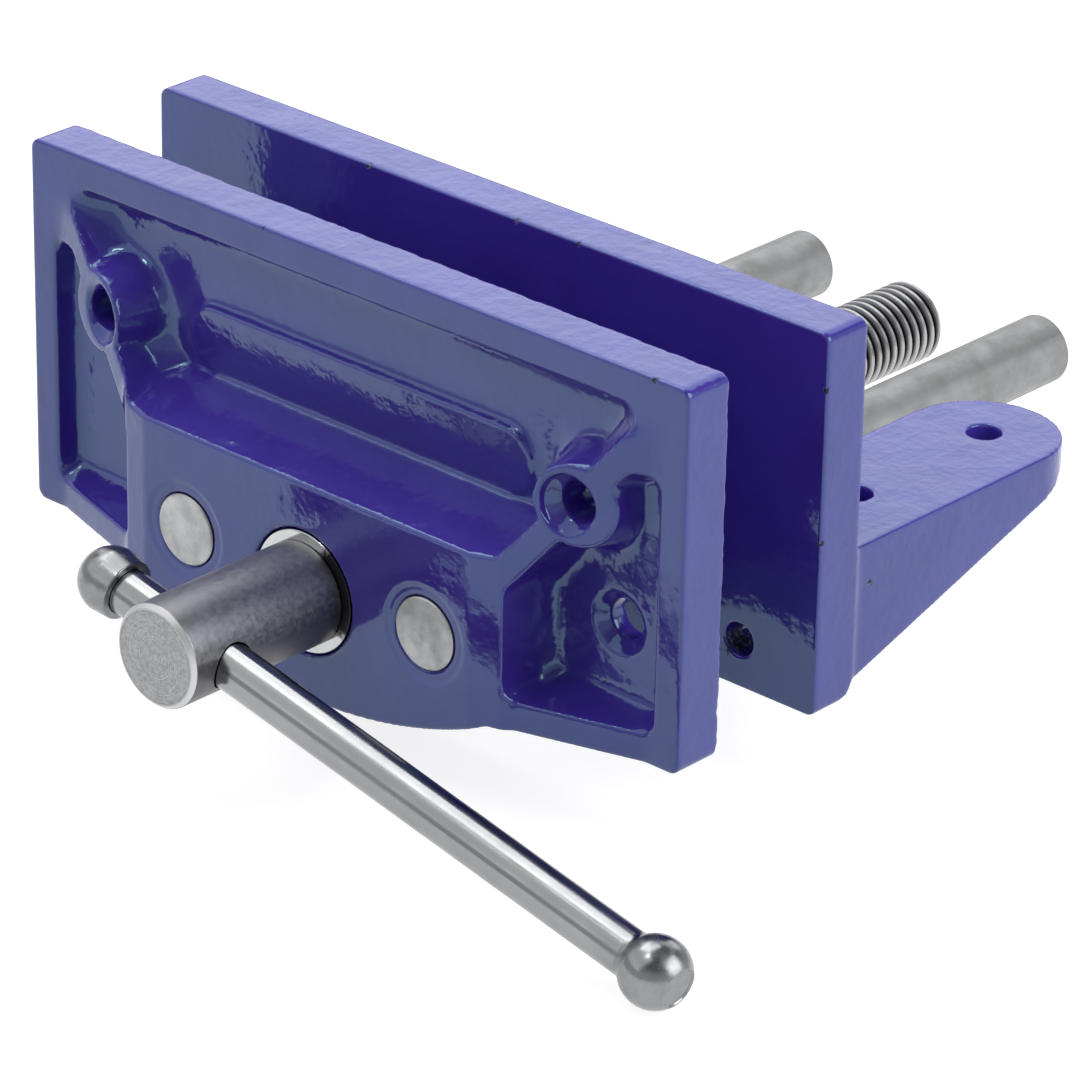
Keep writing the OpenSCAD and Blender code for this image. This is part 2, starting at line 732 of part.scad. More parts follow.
// Turned along X from a half profile of [radius, station]
module turned() {
    rotate([0, 90, 0]) rotate_extrude() children();
}

module handle_bar() {
    r = handle_d / 2;
    ball_r = ball_d / 2;
    neck = forged_ball_t - ball_r - neck_len;
    stub_r = knob_bore_d / 2 - tight_fit;
    shoulder = knob_face - handle_near;
    flat_end = forged_ball_t + ball_r - ball_end_cut;
    color(steel) on_screw_axis() handle_place() turned() difference() {
        union() {
            translate([0, -handle_near - knob_bore_past]) square([stub_r, knob_face + knob_bore_past + over]);
            polygon([[0, shoulder], [r - shoulder_chamfer, shoulder], [r, shoulder + shoulder_chamfer],
                     [r, neck], [ball_r * cos(neck_angle), forged_ball_t - ball_r * sin(neck_angle)],
                     [0, forged_ball_t]]);
            translate([0, forged_ball_t]) circle(ball_r);
        }
        translate([-ball_r - over, flat_end]) square([ball_d + 2 * over, ball_r]);
        translate([-ball_d, -handle_near - ball_r]) square([ball_d, handle_len + 2 * ball_d]);
    }
}

module handle_knob() {
    r = knob_d / 2;
    color(steel) on_screw_axis() handle_place() translate([-handle_near, 0, 0]) turned() difference() {
        union() {
            circle(r);
            polygon([[0, 0], [r, 0], [r - knob_face_less, knob_face], [0, knob_face]]);
        }
        translate([-r - over, knob_face]) square([knob_d + 2 * over, r]);
        translate([-r - over, -r - over]) square([r + over, knob_d + 2 * over]);
        translate([0, -knob_bore_past - tight_fit]) square([knob_bore_d / 2, r + knob_bore_past]);
    }
}

rear_jaw();
main_nut();
nut_screws();
front_jaw();
guide_bar_left();
guide_bar_right();
guide_bar_pins();
thrust_washer();
main_screw();
retaining_washer();
retaining_ring();
handle_bar();
handle_knob();
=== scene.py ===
"""Woodworking vise: iron castings in glossy blue enamel, steel bars, screw and handle."""

import json
import math

import bmesh
import bpy
import numpy as np
from mathutils import Matrix, Vector, noise

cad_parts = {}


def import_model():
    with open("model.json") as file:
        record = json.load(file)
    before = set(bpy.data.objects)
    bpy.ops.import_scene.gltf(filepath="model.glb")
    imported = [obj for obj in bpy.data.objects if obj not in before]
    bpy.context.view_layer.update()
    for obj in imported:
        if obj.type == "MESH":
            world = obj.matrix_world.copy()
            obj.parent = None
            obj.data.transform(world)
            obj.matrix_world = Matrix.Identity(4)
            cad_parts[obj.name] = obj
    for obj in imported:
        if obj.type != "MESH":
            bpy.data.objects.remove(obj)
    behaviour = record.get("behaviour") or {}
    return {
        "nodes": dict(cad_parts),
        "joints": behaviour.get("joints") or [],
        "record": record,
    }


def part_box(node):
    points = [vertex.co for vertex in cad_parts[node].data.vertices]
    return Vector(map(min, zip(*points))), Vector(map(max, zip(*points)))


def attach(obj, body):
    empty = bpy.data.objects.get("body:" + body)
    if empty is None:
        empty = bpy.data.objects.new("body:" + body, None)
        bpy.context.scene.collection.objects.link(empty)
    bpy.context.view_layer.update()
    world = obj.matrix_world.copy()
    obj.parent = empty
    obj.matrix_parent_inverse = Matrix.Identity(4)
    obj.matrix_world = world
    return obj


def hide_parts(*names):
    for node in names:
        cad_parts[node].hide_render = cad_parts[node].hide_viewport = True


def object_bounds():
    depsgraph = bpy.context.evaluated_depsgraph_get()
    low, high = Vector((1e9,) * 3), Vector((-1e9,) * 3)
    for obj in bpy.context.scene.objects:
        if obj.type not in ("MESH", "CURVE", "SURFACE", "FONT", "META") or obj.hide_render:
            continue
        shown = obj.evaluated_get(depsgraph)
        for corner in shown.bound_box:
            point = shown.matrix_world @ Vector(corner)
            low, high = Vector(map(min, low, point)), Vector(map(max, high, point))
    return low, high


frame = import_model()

cad_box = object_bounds()

MM = 0.001
SEGMENTS = 96

# Camera, as the photograph was taken: a long lens from the front right and above
VIEW_AZIMUTH = 42.15
VIEW_ELEVATION = 25.77
VIEW_ROLL = 1.12
VIEW_AIM = Vector((-4.25, -26.11, -34.18)) * MM
VIEW_DISTANCE = 1205.3 * MM
VIEW_LENS = 197.0
SENSOR = 36.0

# Places taken from the frame
mounts = {m["name"]: m for m in frame["record"]["mounts"]}
joints = {j["name"]: j for j in frame["joints"]}
rear_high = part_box("rear_jaw")[1]
front_low, front_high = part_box("front_jaw")
bar_low, bar_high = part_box("guide_bar_right")
screw_low, screw_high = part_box("main_screw")
handle_low, handle_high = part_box("handle_bar")
washer_low, washer_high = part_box("thrust_washer")
bar_r = (bar_high.x - bar_low.x) / 2
bar_x = (bar_high.x + bar_low.x) / 2
bar_z = (bar_high.z + bar_low.z) / 2
screw_z = joints["screw_turn"]["pos_m"][2]
handle_axis = Vector(joints["handle_slide"]["axis"]).normalized()
handle_centre = Vector((0, (handle_low.y + handle_high.y) / 2, screw_z))
rear_face_y = mounts["rear_clamp_face"]["pos_m"][1]
front_back_y = mounts["front_clamp_face"]["pos_m"][1]
jaw_top = front_high.z

# Steel sizes
BAR_FRONT_CHAMFER = 0.3 * MM
BAR_REAR_CHAMFER = 0.5 * MM
HEAD_R = 10.7 * MM
HEAD_CHAMFER = 0.9 * MM
RUN_FIT = 0.06 * MM
JOURNAL_R = 9.1 * MM
JOURNAL_SINK = 0.6 * MM
CROSS_HOLE_R = 5.05 * MM
THREAD_R = 8.9 * MM
THREAD_ROOT_R = 7.6 * MM
THREAD_PITCH = 2.5 * MM
THREAD_RUNOUT = 1.2
WASHER_HOLE_R = 9.4 * MM
HANDLE_R = 4.75 * MM
HANDLE_NEAR = 23.2 * MM
HANDLE_FAR = 121.1 * MM
NECK_R = 2.5 * MM
BALL_R = 7.1 * MM
BALL_END_CUT = 1.4 * MM
BALL_END_LIP = 0.35 * MM
BALL_END_SINK = 0.2 * MM
KNOB_R = 6.8 * MM
KNOB_FACE = 4.26 * MM
KNOB_FACE_R = 6.3 * MM
KNOB_FACE_CORNER = 0.35 * MM
KNOB_MOUTH_R = 4.95 * MM
KNOB_MOUTH_DEPTH = 0.8 * MM
KNOB_BORE_R = 3.73 * MM
KNOB_BORE_DEPTH = 2 * MM
KNOB_BORE_GAP = 0.02 * MM

# Casting surface
VOXEL = 0.42 * MM
BORE_OPENING = 0.12 * MM
MAX_TRIANGLES = 180000
SINK_R = 6.4 * MM
LOWER_HOLE = (67.7 * MM, -7.6 * MM)
SPOT_GAP = 0.3 * MM
NUT_R = 14.0 * MM
DISH_R = 10.4 * MM
DISH_DEPTH = 0.25 * MM
BOSS_PROUD = 11.4 * MM
BOSS_FLOW_R = 14 * MM
ARM_MIN_X = 64 * MM
ARM_FADE_LOW = 34 * MM
ARM_FADE_HIGH = 40.5 * MM
LEDGE_Z = 4.5 * MM
LEDGE_HALF_W = 49 * MM
RAGGED_DEPTH = 0.3 * MM
RAGGED_REACH = 1.4 * MM


# Small helpers for meshes

def link(obj):
    bpy.context.scene.collection.objects.link(obj)
    return obj


def new_object(name, mesh, material):
    obj = link(bpy.data.objects.new(name, mesh))
    obj.data.materials.clear()
    obj.data.materials.append(material)
    return obj


def mesh_from(name, points, faces):
    mesh = bpy.data.meshes.new(name)
    mesh.from_pydata([tuple(p) for p in points], [], faces)
    mesh.update()
    return mesh


def apply_modifiers(obj):
    graph = bpy.context.evaluated_depsgraph_get()
    mesh = bpy.data.meshes.new_from_object(obj.evaluated_get(graph))
    obj.modifiers.clear()
    old = obj.data
    obj.data = mesh
    bpy.data.meshes.remove(old)
    return mesh


def smooth_shade(mesh, angle=35):
    mesh.shade_smooth()
    mesh.set_sharp_from_angle(angle=math.radians(angle))


def weighted_normals(obj):
    modifier = obj.modifiers.new("even_normals", "WEIGHTED_NORMAL")
    modifier.keep_sharp = True


# Materials

class Shader:
    """A material under construction: nodes by type, links by socket."""

    def __init__(self, name):
        self.material = bpy.data.materials.new(name)
        self.material.use_nodes = True
        self.tree = self.material.node_tree
        self.surface = self.tree.nodes["Principled BSDF"]
        source = self.node("ShaderNodeTexCoord")
        self.place = source.outputs["Object"]
        self.facing = source.outputs["Normal"]

    def node(self, kind, **settings):
        made = self.tree.nodes.new(kind)
        for key, value in settings.items():
            setattr(made, key, value)
        return made

    def join(self, value, socket):
        if hasattr(value, "links"):
            self.tree.links.new(value, socket)
        else:
            socket.default_value = value

    def set(self, **values):
        for key, value in values.items():
            self.join(value, self.surface.inputs[key.replace("_", " ")])

    def math(self, operation, *values, clamp=False):
        made = self.node("ShaderNodeMath", operation=operation, use_clamp=clamp)
        for value, socket in zip(values, made.inputs):
            self.join(value, socket)
        return made.outputs[0]

    def noise(self, scale, detail=3.0, rough=0.5, stretch=None, turn=0.0):
        """Noise, made longer along each axis by stretch, the axes turned about Y."""
        made = self.node("ShaderNodeTexNoise")
        place = self.place
        if stretch:
            mapping = self.node("ShaderNodeMapping", vector_type="TEXTURE")
            mapping.inputs["Rotation"].default_value = (0, turn, 0)
            mapping.inputs["Scale"].default_value = stretch
            self.join(place, mapping.inputs["Vector"])
            place = mapping.outputs[0]
        self.join(place, made.inputs["Vector"])
        made.inputs["Scale"].default_value = scale
        made.inputs["Detail"].default_value = detail
        made.inputs["Roughness"].default_value = rough
        return made.outputs["Fac"]

    def rings(self, radius, scale, detail=4.0):
        """Noise that changes with one distance only: turning marks round an axis."""
        made = self.node("ShaderNodeTexNoise", noise_dimensions="1D")
        self.join(radius, made.inputs["W"])
        made.inputs["Scale"].default_value = scale
        made.inputs["Detail"].default_value = detail
        return made.outputs["Fac"]

    def ramp(self, value, low, high, to_low=0.0, to_high=1.0):
        made = self.node("ShaderNodeMapRange", clamp=True, interpolation_type="SMOOTHSTEP")
        for number, key in ((low, "From Min"), (high, "From Max"), (to_low, "To Min"), (to_high, "To Max")):
            made.inputs[key].default_value = number
        self.join(value, made.inputs["Value"])
        return made.outputs["Result"]

    def mix(self, factor, first, second):
        made = self.node("ShaderNodeMix", data_type="RGBA")
        self.join(factor, made.inputs["Factor"])
        for value, socket in ((first, made.inputs["A"]), (second, made.inputs["B"])):
            self.join((*value, 1.0) if isinstance(value, tuple) else value, socket)
        return made.outputs["Result"]

    def bump(self, height, distance, strength=1.0, normal=None):
        made = self.node("ShaderNodeBump")
        made.inputs["Strength"].default_value = strength
        made.inputs["Distance"].default_value = distance
        self.join(height, made.inputs["Height"])
        if normal is not None:
            self.join(normal, made.inputs["Normal"])
        return made.outputs[0]

    def distance_to(self, point):
        made = self.node("ShaderNodeVectorMath", operation="DISTANCE")
        self.join(self.place, made.inputs[0])
        made.inputs[1].default_value = point
        return made.outputs["Value"]

    def distance_to_axis(self, x, z):
        parts = self.node("ShaderNodeSeparateXYZ")
        self.join(self.place, parts.inputs[0])
        across = self.math("SUBTRACT", parts.outputs["X"], x)
        up = self.math("SUBTRACT", parts.outputs["Z"], z)
        square = self.math("ADD", self.math("MULTIPLY", across, across), self.math("MULTIPLY", up, up))
        return self.math("SQRT", square)


ENAMEL = (0.063, 0.034, 0.36)
ENAMEL_DEEP = (0.054, 0.028, 0.312)
ENAMEL_SHEEN = (0.58, 0.98, 1.0, 1.0)
BARE_IRON = (0.03, 0.03, 0.045)
WORN_IRON = (0.16, 0.16, 0.22)
# Painted shade on the washer: height of the dark patch's centre above the screw's axis, and its reach
HEAD_SHADOW_UP = 3.5 * MM
HEAD_SHADOW_R = 9.0 * MM


def enamel(name, chips):
    """Glossy enamel with an orange peel over filed edges. chips are small places where bare iron shows."""
    s = Shader(name)
    colour = s.mix(s.ramp(s.noise(45, detail=4), 0.3, 0.7), ENAMEL, ENAMEL_DEEP)
    gloss = s.ramp(s.noise(160, detail=4), 0.3, 0.75, 0.08, 0.14)
    normal = s.bump(s.noise(75, detail=2, rough=0.4), 0.0003)
    normal = s.bump(s.noise(240, detail=2), 0.00008, normal=normal)
    normal = s.bump(s.noise(480, detail=2), 0.00005, normal=normal)
    normal = s.bump(s.noise(1400, detail=2), 0.00001, normal=normal)
    facing = s.node("ShaderNodeSeparateXYZ")
    s.join(s.facing, facing.inputs[0])
    on_edges = s.ramp(s.math("ABSOLUTE", facing.outputs["Y"]), 0.4, 0.8, 1.0, 0.0)
    filed = s.math("MULTIPLY", s.noise(500, detail=3, stretch=(1, 12, 1)), on_edges)
    normal = s.bump(filed, 0.00006, normal=normal)
    ragged = s.ramp(s.noise(1100, detail=3, rough=0.65), 0.3, 0.7, -0.5, 0.5)
    bare = None
    for point, radius in chips:
        inside = s.math("DIVIDE", s.distance_to(point), radius)
        one = s.ramp(s.math("ADD", inside, ragged), 0.85, 1.0, 1.0, 0.0)
        bare = one if bare is None else s.math("MAXIMUM", bare, one)
    iron = s.mix(s.ramp(s.noise(1500, detail=2), 0.45, 0.65), BARE_IRON, WORN_IRON)
    colour = s.mix(bare, colour, iron)
    gloss = s.math("MAXIMUM", gloss, s.math("MULTIPLY", bare, 0.5))
    normal = s.bump(s.math("SUBTRACT", 1.0, bare), 0.0002, 1.0, normal)
    s.set(Base_Color=colour, Roughness=gloss, Normal=normal, Metallic=s.math("MULTIPLY", bare, 0.9))
    s.set(IOR=1.7, Specular_Tint=ENAMEL_SHEEN)
    return s.material


def steel(name, light, dark, rough, lines=(1, 1, 1), turn=0.0, line_depth=0.00002, blotch=120):
    """Metal with fine tool lines. lines stretches the line noise along each axis, turned about Y."""
    s = Shader(name)
    patches = s.ramp(s.noise(blotch, detail=5, rough=0.6), 0.3, 0.72)
    colour = s.mix(patches, light, dark)
    tool = s.noise(600, detail=3, rough=0.6, stretch=lines, turn=turn)
    gloss = s.math("ADD", s.ramp(tool, 0.25, 0.75, -0.06, 0.08), s.ramp(patches, 0, 1, rough, rough + 0.1))
    s.set(Base_Color=colour, Roughness=gloss, Normal=s.bump(tool, line_depth, 0.7))
    s.set(Metallic=1.0)
    return s.material


def head_steel():
    """Satin steel with painted light: lighter where it faces up, darker at the sides and below."""
    s = Shader("head_steel")
    facing = s.node("ShaderNodeSeparateXYZ")
    s.join(s.facing, facing.inputs[0])
    grain = s.noise(900, detail=4, rough=0.65)
    # Painted light: dark to light as the surface turns to face up, with the grain mixed in
    painted_light_and_grain = s.math("ADD", facing.outputs["Z"], s.ramp(grain, 0.3, 0.7, -0.12, 0.12))
    colour = s.mix(s.ramp(painted_light_and_grain, -0.1, 0.75), (0.15, 0.15, 0.16), (0.38, 0.38, 0.39))
    lines = s.noise(600, detail=3, rough=0.6, stretch=(3, 0.5, 3))
    normal = s.bump(grain, 0.00002, 0.7, s.bump(lines, 0.00002, 0.7))
    s.set(Base_Color=colour, Roughness=s.ramp(grain, 0.3, 0.7, 0.36, 0.46), Normal=normal)
    s.set(Metallic=1.0)
    return s.material


def washer_steel():
    """Bright washer with painted shade: near black on its upper right, where the head shades it."""
    s = Shader("washer_steel")
    grain = s.noise(700, detail=4, rough=0.6)
    away = s.distance_to((washer_high.x, washer_low.y, screw_z + HEAD_SHADOW_UP))
    ragged = s.ramp(grain, 0.3, 0.7, -1.0 * MM, 1.0 * MM)
    # Painted shade: dark and rougher on the washer's upper right, where the head shades it
    painted_head_shadow = s.ramp(s.math("ADD", away, ragged), HEAD_SHADOW_R, 1.3 * HEAD_SHADOW_R, 1.0, 0.0)
    bright = s.mix(grain, (0.46, 0.465, 0.47), (0.6, 0.605, 0.61))
    s.set(Base_Color=s.mix(painted_head_shadow, bright, (0.03, 0.03, 0.033)), Roughness=s.ramp(painted_head_shadow, 0, 1, 0.08, 0.42))
    s.set(Metallic=1.0)
    return s.material


def turned_face_steel():
    """The screw head's end: fine turning marks round the screw's axis."""
    s = Shader("turned_face_steel")
    radius = s.distance_to_axis(0.0, screw_z)
    marks = s.rings(radius, 3600, detail=2)
    grain = s.noise(1300, detail=5, rough=0.7)
    worn = s.ramp(s.math("ADD", s.math("MULTIPLY", marks, 0.5), grain), 0.5, 1.0)
    colour = s.mix(worn, (0.22, 0.223, 0.227), (0.42, 0.425, 0.43))
    # The chamfer round the rim is lightened: a worn bright edge, and partly a painted highlight
    on_rim = s.ramp(radius, HEAD_R - 1.3 * HEAD_CHAMFER, HEAD_R - 0.8 * HEAD_CHAMFER)
    colour = s.mix(on_rim, colour, (0.6, 0.605, 0.61))
    normal = s.bump(grain, 0.00004, 0.7, s.bump(marks, 0.00003, 0.8))
    s.set(Base_Color=colour, Roughness=s.ramp(grain, 0.3, 0.7, 0.36, 0.52), Normal=normal)
    s.set(Metallic=1.0)
    return s.material


def thread_steel():
    """Bright crests, the grooves darkened to near black towards the root."""
    s = Shader("thread_steel")
    radius = s.distance_to_axis(0.0, screw_z)
    crest = s.ramp(radius, THREAD_ROOT_R + 0.35 * MM, THREAD_R - 0.12 * MM)
    worn = s.mix(s.noise(300, detail=4), (0.55, 0.55, 0.55), (0.33, 0.33, 0.34))
    colour = s.mix(crest, (0.02, 0.02, 0.022), worn)
    s.set(Base_Color=colour, Roughness=s.ramp(crest, 0, 1, 0.6, 0.3))
    s.set(Metallic=1.0)
    return s.material


def chip(x, y, z, radius):
    return Vector((x, y, z)) * MM, radius * MM


# Chips in the enamel, in millimetres, on the edges where they are seen
EDGE = 0.3
rear_edge = rear_face_y / MM + EDGE
rear_end = rear_high.x / MM
top_edge = jaw_top / MM - EDGE
front_edge = front_low.y / MM
rear_chips = [
    chip(-30, rear_edge, top_edge, 0.6),
    chip(10, rear_edge, top_edge, 0.7),
    chip(26, rear_edge, top_edge, 0.55),
    chip(rear_end - EDGE, rear_edge, 36.7, 0.6),
    chip(rear_end - EDGE, rear_edge, 5, 0.6),
    chip(rear_end - 0.45, -34.4, -8.9, 0.7),
    chip(67, rear_edge + 2.6, -24.6, 2.8),
]
front_chips = [
    chip(79, -87.6, top_edge, 0.6),
    chip(-22, -87.7, top_edge, 0.5),
]

front_enamel = enamel("front_enamel", front_chips)
rear_enamel = enamel("rear_enamel", rear_chips)
handle_turn = math.atan2(-handle_axis.z, handle_axis.x)
bar_steel = steel("bar_steel", (0.33, 0.335, 0.34), (0.25, 0.253, 0.255), 0.42, lines=(1, 20, 1))
bar_end_steel = steel("bar_end_steel", (0.47, 0.475, 0.48), (0.37, 0.375, 0.38), 0.44, blotch=260)
head_finish = head_steel()
washer_finish = washer_steel()
bright_steel = steel("bright_steel", (0.31, 0.315, 0.325), (0.27, 0.275, 0.285), 0.14, lines=(16, 1, 1),
                     turn=handle_turn, line_depth=0.000012, blotch=60)
ball_steel = steel("ball_steel", (0.29, 0.295, 0.305), (0.22, 0.225, 0.235), 0.2, line_depth=0.000016,
                   blotch=160)
dark_steel = steel("dark_steel", (0.22, 0.22, 0.23), (0.12, 0.12, 0.13), 0.45)
head_end_finish = turned_face_steel()
thread_finish = thread_steel()


# Castings

def bolt_holes(name):
    """(x, z, radius) of each hole of a line of two along X."""
    mount = mounts[name]
    half = mount["dims"]["spacing_x_mm"] / 2 * MM
    return [(s * half, mount["pos_m"][2], mount["dims"]["hole_r_mm"] * MM) for s in (-1, 1)]


bar_holes = [(s * bar_x, bar_z, bar_r) for s in (-1, 1)]
upper_holes = bolt_holes("cheek_holes_upper")
sunk_holes = [(x, z, SINK_R) for x, z, r in upper_holes] + [(*LOWER_HOLE, SINK_R)]
rear_holes = bar_holes + bolt_holes("rear_cheek_holes") + [(0, screw_z, NUT_R)]
spot_r = (washer_high.x - washer_low.x) / 2 + SPOT_GAP
front_holes = bar_holes + sunk_holes + [(0, screw_z, spot_r), (0, screw_z, JOURNAL_R)]


def coordinates(mesh):
    flat = np.empty(len(mesh.vertices) * 3)
    mesh.vertices.foreach_get("co", flat)
    return flat.reshape(-1, 3)


def set_coordinates(mesh, points):
    mesh.vertices.foreach_set("co", points.ravel())
    mesh.update()


def vertex_normals(mesh):
    flat = np.empty(len(mesh.vertices) * 3)
    mesh.vertex_normals.foreach_get("vector", flat)
    return flat.reshape(-1, 3)


def axis_distance(points, x, z):
    return np.hypot(points[:, 0] - x, points[:, 2] - z)


def ramp01(values, low, high):
    t = np.clip((values - low) / (high - low), 0, 1)
    return t * t * (3 - 2 * t)


class Relaxer:
    """Evens out a mesh: every point moves towards the middle of its neighbours."""

    def __init__(self, mesh):
        self.mesh = mesh
        self.points = coordinates(mesh)
        edges = np.empty(len(mesh.edges) * 2, np.int32)
        mesh.edges.foreach_get("vertices", edges)
        self.edges = edges.reshape(-1, 2)
        self.degree = np.bincount(edges, minlength=len(self.points)).astype(float)[:, None]

    def clear_of(self, holes, low, high):
        """One away from the holes, and zero from each hole's wall to a distance of low."""
        weight = np.ones(len(self.points))
        for x, z, r in holes:
            weight *= ramp01(axis_distance(self.points, x, z), r + low, r + high)
        return weight

    def pull(self, edges=None):
        first, second = (self.edges if edges is None else edges).T
        count = len(self.points)
        total = np.empty_like(self.points)
        for axis in range(3):
            values = self.points[:, axis]
            total[:, axis] = np.bincount(first, values[second], count)
            total[:, axis] += np.bincount(second, values[first], count)
        return total / self.degree - self.points

    def soften(self, steps, rate=0.5):
        for _ in range(steps):
            self.points += rate * self.pull()
        set_coordinates(self.mesh, self.points)

    def fill_valleys(self, steps, weight, rate=0.8, refresh=5):
        """Rounds inner corners only, where weight isn't zero."""
        near = self.edges[(weight[self.edges] > 0).any(axis=1)]
        for step in range(steps):
            if step % refresh == 0:
                set_coordinates(self.mesh, self.points)
                normals = vertex_normals(self.mesh)
            rise = np.clip((self.pull(near) * normals).sum(1), 0, None) * weight * rate
            self.points += normals * rise[:, None]
        set_coordinates(self.mesh, self.points)


def voxel_copy(node, material, holes):
    """The node's own shape as an even mesh, its bores a little open for the steel."""
    mesh = frame["nodes"][node].data.copy()
    work = bmesh.new()
    work.from_mesh(mesh)
    bmesh.ops.remove_doubles(work, verts=work.verts, dist=0.001 * MM)
    for vertex in work.verts:
        for x, z, r in holes:
            away = Vector((vertex.co.x - x, 0, vertex.co.z - z))
            if abs(away.length - r) < 0.2 * MM:
                vertex.co += away.normalized() * BORE_OPENING
    work.to_mesh(mesh)
    work.free()
    piece = new_object("cast_" + node, mesh, material)
    remesh = piece.modifiers.new("remesh", "REMESH")
    remesh.mode = "VOXEL"
    remesh.voxel_size = VOXEL
    apply_modifiers(piece)
    return piece


def casting(node, body, material, holes, finish):
    """The node's own shape with cast edges, worked over by finish."""
    piece = voxel_copy(node, material, holes)
    relaxer = Relaxer(piece.data)
    finish(relaxer, relaxer.clear_of(holes, 0.6 * MM, 2.0 * MM))
    thin_out = piece.modifiers.new("thin_out", "DECIMATE")
    thin_out.ratio = min(1.0, MAX_TRIANGLES / (2 * len(piece.data.polygons)))
    apply_modifiers(piece)
    piece.data.shade_smooth()
    weighted_normals(piece)
    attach(piece, body)
    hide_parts(node)


def front_finish(relaxer, weight):
    """Fillets, wider round the upper bosses and none along the ledge, and a mould line at the back."""
    fade_arms(relaxer)
    relaxer.soften(3)
    points = relaxer.points
    to_boss = np.min([axis_distance(points, x, z) for x, z, r in upper_holes], axis=0)
    flow = 1 - ramp01(to_boss, BOSS_FLOW_R, 1.35 * BOSS_FLOW_R)
    to_ledge = np.abs(points[:, 2] - LEDGE_Z - 3 * MM)
    off_middle = np.abs(points[:, 0])
    ledge = 1 - ramp01(to_ledge, 4 * MM, 7 * MM)
    ledge *= 1 - ramp01(off_middle, LEDGE_HALF_W, 1.1 * LEDGE_HALF_W)
    relaxer.fill_valleys(45, weight * (1 - ledge))
    relaxer.fill_valleys(40, weight * flow * (1 - ledge))
    relaxer.soften(2)
    dish_bar_ends(relaxer)
    ragged_back_edge(relaxer)


def rear_finish(relaxer, weight):
    relaxer.soften(3)
    relaxer.fill_valleys(8, weight)
    relaxer.soften(2)


def fade_arms(relaxer):
    """The arms above the upper bosses run out into the rim."""
    points = relaxer.points
    proud = np.minimum(points[:, 1] - front_low.y - BOSS_PROUD, 0)
    fade = ramp01(points[:, 2], ARM_FADE_LOW, ARM_FADE_HIGH) * (np.abs(points[:, 0]) > ARM_MIN_X)
    points[:, 1] -= proud * fade


def dish_bar_ends(relaxer):
    """The boss's face is a little lower round each bar's end."""
    points = relaxer.points
    on_face = 1 - ramp01(points[:, 1] - front_low.y, 0.2 * MM, 1.0 * MM)
    for x, z, r in bar_holes:
        near = 1 - ramp01(axis_distance(points, x, z), DISH_R - 0.8 * MM, DISH_R + 0.3 * MM)
        points[:, 1] += DISH_DEPTH * near * on_face
    set_coordinates(relaxer.mesh, points)


def ragged_back_edge(relaxer):
    """The mould's parting line leaves the front jaw's back edge uneven along its top and its ends."""
    points = relaxer.points
    to_back = front_back_y - points[:, 1]
    to_top = front_high.z - points[:, 2]
    to_end = np.minimum(front_high.x - points[:, 0], points[:, 0] - front_low.x)
    near = 1 - ramp01(np.minimum(to_top, to_end), 0.3 * MM, RAGGED_REACH)
    near *= 1 - ramp01(to_back, 0, RAGGED_REACH)
    for i in np.flatnonzero(near > 0):
        x, _, z = points[i]
        broad = noise.noise(Vector((x, 0.0, z)) / (5 * MM))
        fine = noise.noise(Vector((x, 9.0, z)) / (1.8 * MM))
        points[i, 1] -= RAGGED_DEPTH * near[i] * min(max(0.6 + broad + fine, 0.0), 1.8)
    set_coordinates(relaxer.mesh, points)


casting("front_jaw", "front_jaw", front_enamel, front_holes, front_finish)
casting("rear_jaw", "vise_body", rear_enamel, rear_holes, rear_finish)


# Turned steel

def rounded(profile, steps=5):
    """A profile of (station, radius, corner radius) as (station, radius) points, its corners as arcs."""
    points = []
    for i, (station, radius, corner) in enumerate(profile):
        here = Vector((station, radius))
        if corner == 0 or i in (0, len(profile) - 1):
            points.append(here)
            continue
        before = (Vector(profile[i - 1][:2]) - here).normalized()
        after = (Vector(profile[i + 1][:2]) - here).normalized()
        half = before.angle(after) / 2
        reach = corner / math.tan(half)
        centre = here + (before + after).normalized() * (corner / math.sin(half))
        start = here + before * reach - centre
        turn = (here + after * reach - centre).angle_signed(start)
        for k in range(steps + 1):
            a = turn * k / steps
            c, s = math.cos(a), math.sin(a)
            points.append(centre + Vector((start.x * c - start.y * s, start.x * s + start.y * c)))
    return points


def arc(station, height, radius, first, last, steps):
    """(station, radius) points round a centre, between two angles in degrees."""
    angles = [math.radians(first + (last - first) * k / steps) for k in range(steps + 1)]
    return [Vector((station + radius * math.cos(a), height + radius * math.sin(a))) for a in angles]


def along(axis, centre):
    """Maps (station, radius, angle) round an axis to a point."""
    z = axis.normalized()
    x = z.orthogonal().normalized()
    y = z.cross(x)
    return lambda station, radius, angle: (
        centre + z * station + (x * math.cos(angle) + y * math.sin(angle)) * radius)


def turned_mesh(name, profile, place, segments=SEGMENTS):
    """A closed solid of revolution. The profile starts and ends on the axis."""
    rings = profile[1:-1]
    points = [place(profile[0][0], 0, 0)]
    for station, radius in rings:
        points += [place(station, radius, 2 * math.pi * k / segments) for k in range(segments)]
    points.append(place(profile[-1][0], 0, 0))
    faces = []
    for k in range(segments):
        n = (k + 1) % segments
        faces.append((0, 1 + n, 1 + k))
        for ring in range(len(rings) - 1):
            a = 1 + ring * segments
            b = a + segments
            faces.append((a + k, a + n, b + n, b + k))
        faces.append((len(points) - 1, len(points) - 1 - segments + k, len(points) - 1 - segments + n))
    return mesh_from(name, points, faces)


def finish_piece(obj, body, slot, *nodes):
    smooth_shade(obj.data)
    weighted_normals(obj)
    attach(obj, body)
    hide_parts(*nodes)
    return obj


def paint_faces(obj, material, chosen):
    """Gives the faces whose centre passes the test a second material."""
    obj.data.materials.append(material)
    index = len(obj.data.materials) - 1
    for face in obj.data.polygons:
        if chosen(face.center, face.normal):
            face.material_index = index


